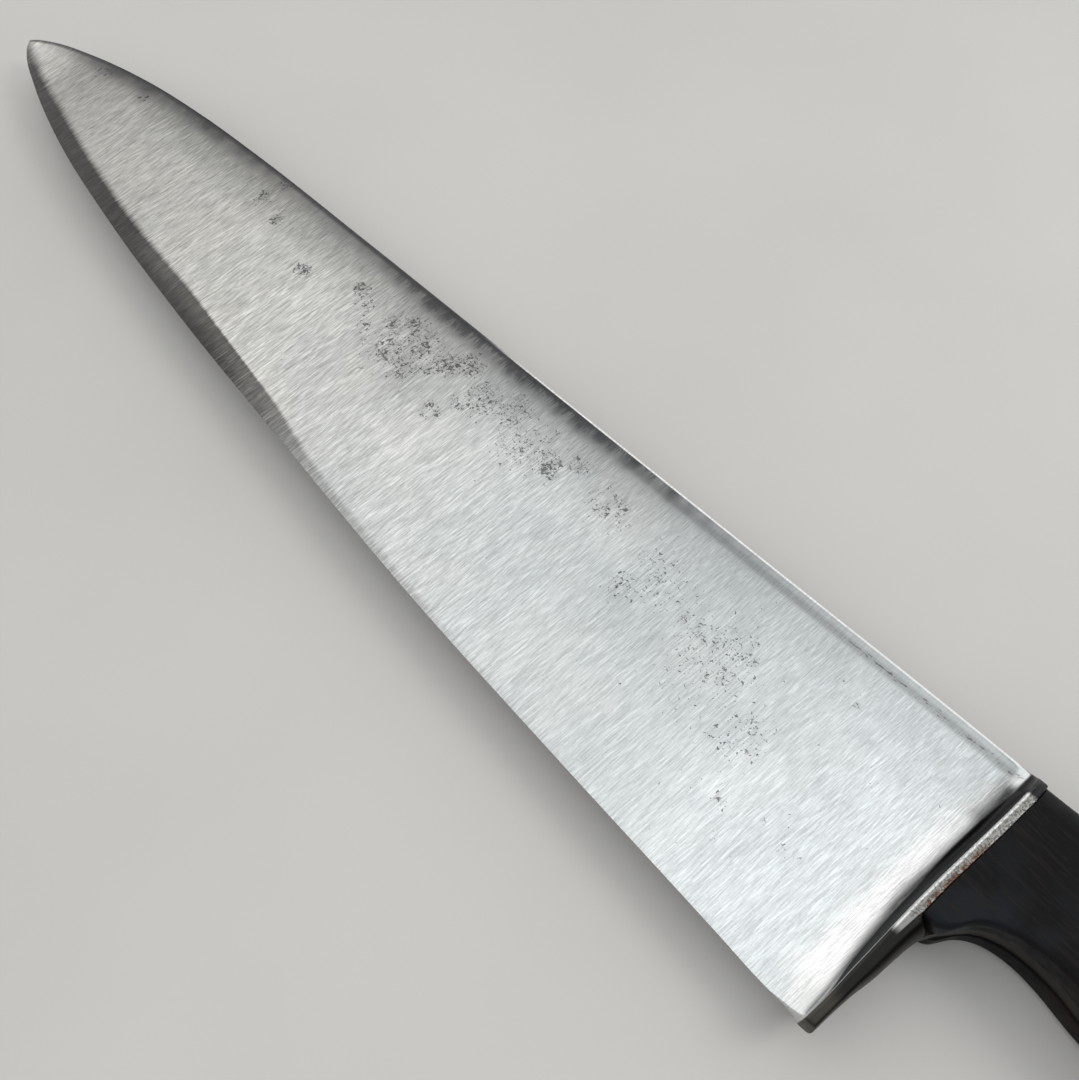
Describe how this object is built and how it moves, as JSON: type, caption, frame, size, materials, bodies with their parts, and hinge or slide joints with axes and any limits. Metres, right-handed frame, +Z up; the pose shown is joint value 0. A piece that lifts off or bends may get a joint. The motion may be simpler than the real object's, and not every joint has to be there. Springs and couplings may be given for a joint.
{
  "type": "chef knife",
  "caption": "Forged chef's knife with a long tapering blade, integral bolster and finger guard, full tang and riveted black handle scales.",
  "frame": {"origin": "middle of the knife's footprint as it lies on its side, on the plane of the lower scale's flat", "axes": "+X from the tip to the butt, +Y from the cutting edge to the spine, +Z up, square to the blade's side"},
  "size_m": [0.4333, 0.0588, 0.016],
  "materials": {
    "forged_steel": "satin, ground across the blade, with fine pitting",
    "handle_scales": "near-black, satin, faint grain",
    "rivets": "ground flush with the scales, worn"
  },
  "bodies": {
    "root": {"forged_blade_bolster_tang": "forged_steel", "upper_handle_scale": "handle_scales", "lower_handle_scale": "handle_scales", "front_rivet_female": "rivets", "front_rivet_male": "rivets", "middle_rivet_female": "rivets", "middle_rivet_male": "rivets", "rear_rivet_female": "rivets", "rear_rivet_male": "rivets"}
  },
  "joints": []
}
